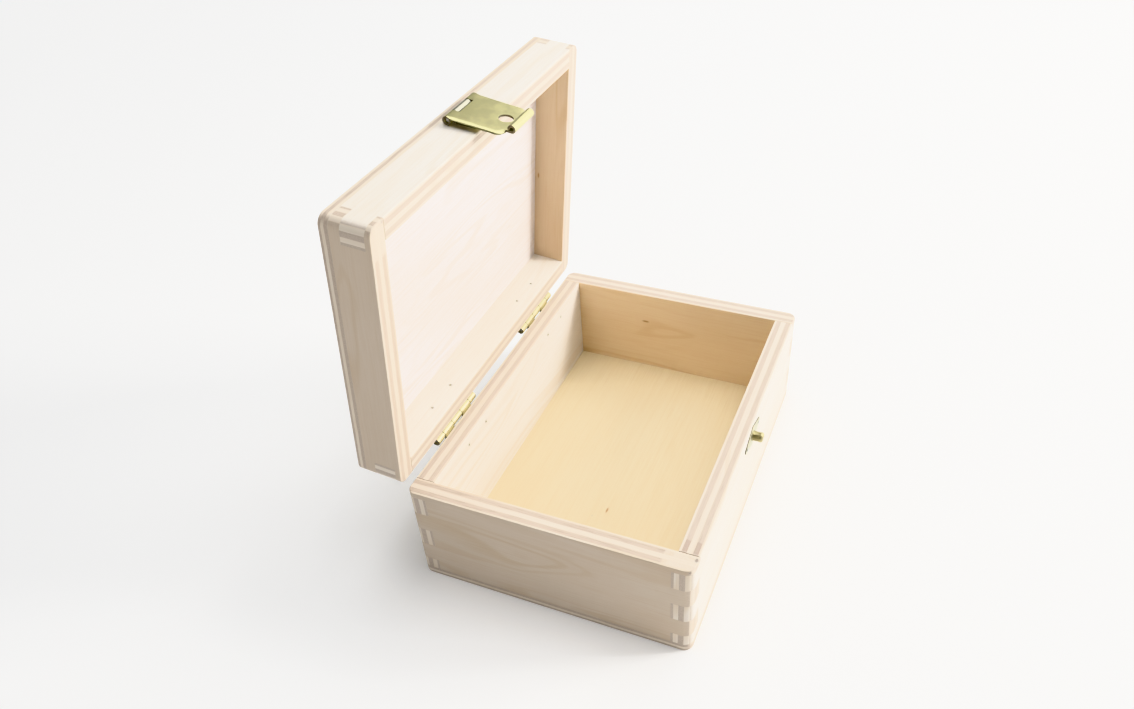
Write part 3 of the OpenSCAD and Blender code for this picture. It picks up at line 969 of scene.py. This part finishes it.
def mounting_plate():
    low, high = shut_box("hasp_mounting_plate")
    barrel_r = high.z - HASP.z
    roll_r = barrel_r - SHEET / 2
    plate_y = high.y - SHEET / 2 - HASP.y
    bend = Bend(plate_y, low.z - HASP.z, 90)
    reach = HASP.z - low.z
    bend.rise(reach, plate_y - roll_r)
    bend.turn(roll_r, HASP_ROLL)
    plate_end = reach - barrel_r - KNUCKLE_CLEAR
    knuckle = WINDOW_HALF - KNUCKLE_GAP
    xs = filled([low.x, high.x, -knuckle, knuckle], between(low.x, high.x, 8))
    ss = bend.stations([plate_end])
    bm = to_hasp(bent_sheet(bend, xs, ss, lambda x, s: s < plate_end or abs(x) < knuckle))
    piece = new_piece("hasp_mounting_plate_sheet", bm, PALE_BRASS_AND_REFLECTION, "hasp_mounting_plate")
    thicken(piece, SHEET)


def hasp():
    flap()
    mounting_plate()
    pin("hasp_pin")
    nails("hasp_nails", -1, 0.0, BRASS)


# ---- keeper ----

KEEPER_BLUNT = 2.2 * MM       # length of the point that each tip loses
KEEPER_DOME = 0.2             # how far the plate's edge lies back from its middle, as a share of its thickness
STUD_HOLE_R = 1.1 * MM
STUD_EDGE_R = 0.9 * MM
STUD_FOOT = 0.25 * MM         # height of the ring at the stud's foot


def keeper_plate():
    """Thin lozenge with blunt tips, slightly domed about the stud."""
    low, high = shut_box("keeper_plate")
    thickness = high.y - low.y
    half_x, half_z = (high.x - low.x) / 2, (high.z - low.z) / 2
    centre_z = (low.z + high.z) / 2
    point_x = half_x + KEEPER_BLUNT
    count, rings = 96, 7
    bm = bmesh.new()
    rows = []
    for i in range(count):
        angle = math.tau * i / count
        c, s = math.cos(angle), math.sin(angle)
        outer_r = min(half_x, 1 / (abs(c) / point_x + abs(s) / half_z))
        row = []
        for share in between(0, 1, rings):
            radius = STUD_HOLE_R + (outer_r - STUD_HOLE_R) * share
            back = thickness * KEEPER_DOME * share**2
            row.append(bm.verts.new((radius * c, low.y + thickness / 2 + back, centre_z + radius * s)))
        rows.append(row)
    for i in range(count):
        j = (i + 1) % count
        for k in range(rings):
            bm.faces.new((rows[i][k], rows[j][k], rows[j][k + 1], rows[i][k + 1]))
    piece = new_piece("keeper_plate_sheet", bm, DULL_BRASS, "keeper_plate")
    thicken(piece, thickness, KEEPER_BEVEL)


def keeper_stud():
    """Round stud with a rounded end, a foot ring against the plate, and its shank in the wood."""
    low, high = shut_box("keeper_stud")
    plate_face = shut_box("keeper_plate")[0].y
    radius = (high.x - low.x) / 2
    length = plate_face - low.y
    waist = radius - STUD_FOOT / 2
    shoulder = length - STUD_EDGE_R
    depth = high.y - plate_face
    profile = [(0, -depth), (STUD_HOLE_R, -depth), (STUD_HOLE_R, 0), (radius, 0), (radius, STUD_FOOT * 0.6)]
    profile += [(waist, STUD_FOOT), (waist, shoulder - STUD_FOOT), (radius, shoulder)]
    profile += arc(radius - STUD_EDGE_R, shoulder, STUD_EDGE_R, 10, 80, 7)
    profile += [(0, length)]
    bm = bmesh.new()
    lathe(bm, profile, (0, plate_face, (low.z + high.z) / 2), (0, -1, 0), 40)
    piece = new_piece("keeper_stud_turned", bm, OLD_BRASS, "keeper_stud")
    sharp_smooth(piece)


def keeper():
    keeper_plate()
    keeper_stud()
    nails("keeper_nails", -1, KEEPER_HEAD_H, STEEL)


# ---- floor, light, camera ----


GLOW_NEAR = (250, 0.14)       # distance from the box in mm, and the paper's emission there: painted light that lifts the shadows round the box
GLOW_FAR = (1600, 0.80)
HORIZON = 0.86                # brightness of the studio's walls at floor level, against its ceiling
WALL_TOP = (0.10, 0.30)       # sines of the elevations between which the walls fade into the ceiling
CEILING = 0.04
PAPER_RELIEF = 0.02 * MM
FLOOR_SIZE = 16.0
CAMERA_LENS = 29.264
CAMERA_SHIFT = (-0.0260, 0.0140)
CAMERA_PLACE = (-0.21955, -0.0891, 0.24286)
CAMERA_TURN = (50.572, 2.431, -68.064)


def floor_material():
    g = Graph("pale_paper")
    p = g.scaled(g.node("ShaderNodeTexCoord", {}).outputs["Object"], (1000, 1000, 1000))
    tooth = g.noise(p, 1.5, 3, 0.6)
    tone = g.mix(g.span(tooth, 0.3, 0.7), (0.93, 0.93, 0.93, 1), (0.95, 0.95, 0.948, 1))
    # painted light: the paper glows, faintly near the box and strongly far off, which lifts the shadows near the
    # box and whitens the far floor as a backdrop
    glow = g.span(g.length(p), GLOW_NEAR[0], GLOW_FAR[0], GLOW_NEAR[1], GLOW_FAR[1])
    return g.shader(
        tone, 0.9, tooth, PAPER_RELIEF,
        Specular_IOR_Level=0.1, Emission_Color=(1, 1, 1, 1), Emission_Strength=glow,
    )


def make_floor():
    bpy.ops.mesh.primitive_plane_add(size=FLOOR_SIZE, location=(0, 0, CAD_BOUNDS[0].z))
    floor = bpy.context.object
    floor.name = "floor"
    floor.data.materials.append(floor_material())


def make_light(name, towards, distance, size, power, colour):
    """Square area light that faces the box from a direction."""
    data = bpy.data.lights.new(name, "AREA")
    data.size = size
    data.energy = power
    data.color = colour
    light = bpy.data.objects.new(name, data)
    direction = Vector(towards).normalized()
    centre = 0.5 * (CAD_BOUNDS[0] + CAD_BOUNDS[1])
    light.location = centre + direction * distance
    light.rotation_euler = direction.to_track_quat("Z", "Y").to_euler()
    bpy.context.scene.collection.objects.link(light)


def make_world():
    """Pale studio walls all round, under a darker ceiling."""
    world = bpy.data.worlds.new("studio")
    world.use_nodes = True
    tree = world.node_tree
    background = tree.nodes["Background"]
    background.inputs["Color"].default_value = (1.0, 0.995, 0.985, 1)
    coords = tree.nodes.new("ShaderNodeTexCoord")
    split = tree.nodes.new("ShaderNodeSeparateXYZ")
    fade = tree.nodes.new("ShaderNodeMapRange")
    fade.interpolation_type = "SMOOTHSTEP"
    for k, value in enumerate((WALL_TOP[0], WALL_TOP[1], HORIZON, CEILING)):
        fade.inputs[k + 1].default_value = value
    tree.links.new(coords.outputs["Generated"], split.inputs[0])
    tree.links.new(split.outputs["Z"], fade.inputs[0])
    tree.links.new(fade.outputs[0], background.inputs["Strength"])
    bpy.context.scene.world = world


def make_camera():
    data = bpy.data.cameras.new("camera")
    data.sensor_width = 36
    data.lens = CAMERA_LENS
    data.shift_x, data.shift_y = CAMERA_SHIFT
    data.clip_start = 0.01
    camera = bpy.data.objects.new("camera", data)
    camera.location = CAMERA_PLACE
    camera.rotation_euler = [math.radians(a) for a in CAMERA_TURN]
    bpy.context.scene.collection.objects.link(camera)
    bpy.context.scene.camera = camera


# ---- build ----

CORE_WOOD = (0.79, 0.72, 0.63)
LEFT_CORE = (0.77, 0.69, 0.59)
# painted light: the paler, pinker face tints below stand in for brightly lit birch going nearly white, laid over
# the birch's own pale face colour
PAINTED_LIGHT_PALE_FACE = (0.83, 0.785, 0.725)
PAINTED_LIGHT_PINK_FACE = (0.835, 0.805, 0.775)
PAINTED_LIGHT_CREAM_FACE = (0.845, 0.805, 0.74)
# painted shade: the darker, warmer tints below are for faces in shade (the left ends' outer faces and the right
# ends' inner faces), plus a yellower tint for the floor inside the box that stands in for its shade and warm
# bounce light, all laid over the birch's own colour
PAINTED_SHADE_END = (0.635, 0.54, 0.44)
PAINTED_SHADE_WARM_END = (0.79, 0.635, 0.44)
PAINTED_SHADE_DEEP_END = (0.64, 0.505, 0.355)
PAINTED_BOUNCE_FLOOR_FACE = (0.79, 0.685, 0.47)
# painted light: a pale pink tint for the lid's inner face, which is brightly lit
PAINTED_LIGHT_LID_FACE = (0.84, 0.805, 0.815)
TIP_IN = WALL / MM            # inner face of a wall, from its outer face
INNER_X = HALF_X / MM - TIP_IN
INNER_Y = HALF_Y / MM - TIP_IN


def nail_tips(*nodes):
    """Bruises in the rear walls' inner faces, where the hinge nails come through."""
    spots = []
    for node in nodes:
        low, high = shut_box(node)
        head_r = (high.z - low.z) / 2
        for x in (low.x + head_r, high.x - head_r):
            spots.append(((x / MM, INNER_Y, (low.z + high.z) / 2 / MM), 1.0, 0.75))
    return spots


RIM_Z = BASE_HIGH.z / MM
LID_RIM_Z = LID_LOW.z / MM
FRONT_Y = BASE_LOW.y / MM
LEFT_X = BASE_LOW.x / MM
SCORCHED = ("x", -57.3, -52.8)
PLAIN_CORNER = ("y", FRONT_Y - 5, FRONT_Y + 10)
WALLS = {
    "base_front_wall": (CORE_WOOD, 11, {
        "outer_face": PAINTED_LIGHT_PALE_FACE, "inner_face": PAINTED_LIGHT_PALE_FACE, "burnt_rim": SCORCHED,
    }),
    "base_rear_wall": (CORE_WOOD, 23, {
        "outer_face": PAINTED_LIGHT_PALE_FACE, "inner_face": PAINTED_LIGHT_PINK_FACE,
        "spots": nail_tips("left_hinge_base_nails", "right_hinge_base_nails"),
    }),
    "base_left_end": (LEFT_CORE, 37, {
        "outer_face": PAINTED_SHADE_END, "plain_rim": PLAIN_CORNER,
        "spots": [
            ((LEFT_X + 4.9, FRONT_Y + 0.5, RIM_Z), 1.0, 0.8),
            ((LEFT_X + 0.3, FRONT_Y + 1.0, RIM_Z - 0.6), 0.7, 0.9),
        ],
    }),
    "base_right_end": (CORE_WOOD, 41, {
        "inner_face": PAINTED_SHADE_WARM_END, "knots": [((INNER_X, 11.5, 25.0), 0.65)], "figure_strength": 0.8,
    }),
    "lid_front_wall": (CORE_WOOD, 53, {
        "outer_face": PAINTED_LIGHT_PALE_FACE, "inner_face": PAINTED_LIGHT_PALE_FACE, "figure_strength": 0.3,
    }),
    "lid_rear_wall": (CORE_WOOD, 61, {
        "outer_face": PAINTED_LIGHT_PALE_FACE, "inner_face": PAINTED_LIGHT_CREAM_FACE,
        "spots": nail_tips("left_hinge_lid_nails", "right_hinge_lid_nails"), "figure_strength": 0.4,
    }),
    "lid_left_end": (LEFT_CORE, 71, {
        "outer_face": PAINTED_SHADE_END, "plain_rim": PLAIN_CORNER,
        "spots": [((LEFT_X + 5.6, FRONT_Y + 0.6, LID_RIM_Z), 0.8, 0.6)],
    }),
    "lid_right_end": (CORE_WOOD, 83, {
        "inner_face": PAINTED_SHADE_DEEP_END, "knots": [((INNER_X, 4.0, 48.3), 0.5)], "figure_strength": 0.7,
    }),
}
for node, (colour, seed, features) in WALLS.items():
    wall_piece(node, wall_material(node, colour, seed, **features))
PANEL_Z = shut_box("base_bottom_panel")[1].z / MM
sheet_piece("base_bottom_panel", panel_material(
    "base_bottom_panel", LEFT_CORE, 97, inner_face=PAINTED_BOUNCE_FLOOR_FACE,
    knots=[((-22.0, -2.5, PANEL_Z), 0.6)], spots=[((-26.0, 1.5, PANEL_Z), 0.5, 0.3)], figure_strength=0.12,
))
sheet_piece("lid_top_panel", panel_material(
    "lid_top_panel", LEFT_CORE, 103, inner_face=PAINTED_LIGHT_LID_FACE, outer_face=PAINTED_LIGHT_PALE_FACE, figure_strength=0.4,
))

for name in ("left", "right"):
    hinge(name)
hasp()
keeper()

make_floor()
make_world()
make_light("key", (1.25, -2.4, 1.0), 0.9, 0.30, 9, (1.0, 0.98, 0.95))
make_light("overhead", (0.1, -0.12, 1.0), 1.0, 0.9, 8, (1.0, 1.0, 1.0))
make_light("card", (1.0, -0.25, 0.8), 1.1, 1.0, 5.0, (1.0, 1.0, 1.0))
make_camera()
bpy.context.scene.view_settings.view_transform = "Khronos PBR Neutral"
bpy.context.scene.view_settings.exposure = 0.25
